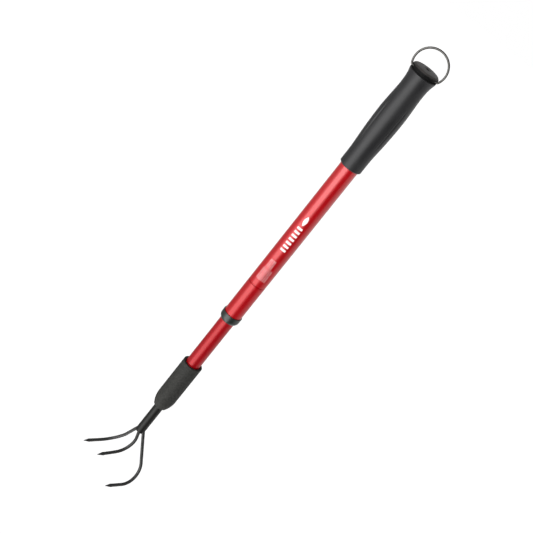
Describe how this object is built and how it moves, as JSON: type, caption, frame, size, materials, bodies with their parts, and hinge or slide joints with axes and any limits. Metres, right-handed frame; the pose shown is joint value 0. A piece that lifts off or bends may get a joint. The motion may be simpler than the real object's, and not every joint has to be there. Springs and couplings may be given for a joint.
{
  "type": "hand cultivator",
  "caption": "Hand cultivator with curved pointed tines on a telescoping twist-lock tube handle, a contoured rubber grip and a swinging wire hang ring.",
  "frame": {"origin": "top of the hang ring's eye on the handle's centreline, where the tool hangs on a hook, ring upright", "axes": "+Z along the handle from the tines to the grip, +X along the hang ring's pivot, tines pointing towards -Y turned 38.7 degrees towards -X"},
  "size_m": [0.0787, 0.075, 0.6413],
  "materials": {
    "red_anodised": "satin anodised, fine lengthwise drawing lines",
    "grip_rubber": "matte, fine moulded texture",
    "cap_plastic": "matte moulded",
    "ring_steel": "dark phosphated wire",
    "collar_plastic": "satin moulded",
    "bearing_plastic": "natural moulded",
    "zinc_steel": "zinc plated",
    "ferrule_plastic": "matte, fine texture",
    "black_coated_steel": "satin black coating, lightly textured",
    "mark_ink": "printed ink"
  },
  "bodies": {
    "handle": {"outer_tube": "red_anodised", "grip": "grip_rubber", "end_cap": "cap_plastic", "guide_collar": "collar_plastic", "guide_bush": "bearing_plastic"},
    "ring": {"hang_ring": "ring_steel"},
    "sleeve": {"lock_sleeve": "bearing_plastic"},
    "wedge": {"wedge_nut": "bearing_plastic"},
    "head": {"inner_tube": "red_anodised", "lock_plug": "bearing_plastic", "lock_screw": "zinc_steel", "thrust_washer": "zinc_steel", "shank_core": "bearing_plastic", "shank_pin": "zinc_steel", "ferrule": "ferrule_plastic", "shank": "black_coated_steel", "tine_left": "black_coated_steel", "tine_center": "black_coated_steel", "tine_right": "black_coated_steel"}
  },
  "joints": [
    {"name": "ring_swing", "type": "hinge", "parent": "handle", "child": "ring", "pos_m": [0, 0, -0.0272], "axis": [1, 0, 0], "range_deg": [-145, 145]},
    {"name": "tube_extension", "type": "slide", "parent": "handle", "child": "sleeve", "axis": [0, 0, -1], "range_m": [-0.0725, 0.172]},
    {"name": "twist_lock", "type": "hinge", "parent": "sleeve", "child": "head", "pos_m": [0, 0, -0.385], "axis": [0, 0, 1], "range_deg": [-360, 0]},
    {"name": "wedge_travel", "type": "slide", "parent": "sleeve", "child": "wedge", "axis": [0, 0, 1], "range_m": [0, 0.001]}
  ],
  "couplings": [
    {"joint": "wedge_travel", "follows": "twist_lock", "m_per_rad": -0.000159}
  ]
}
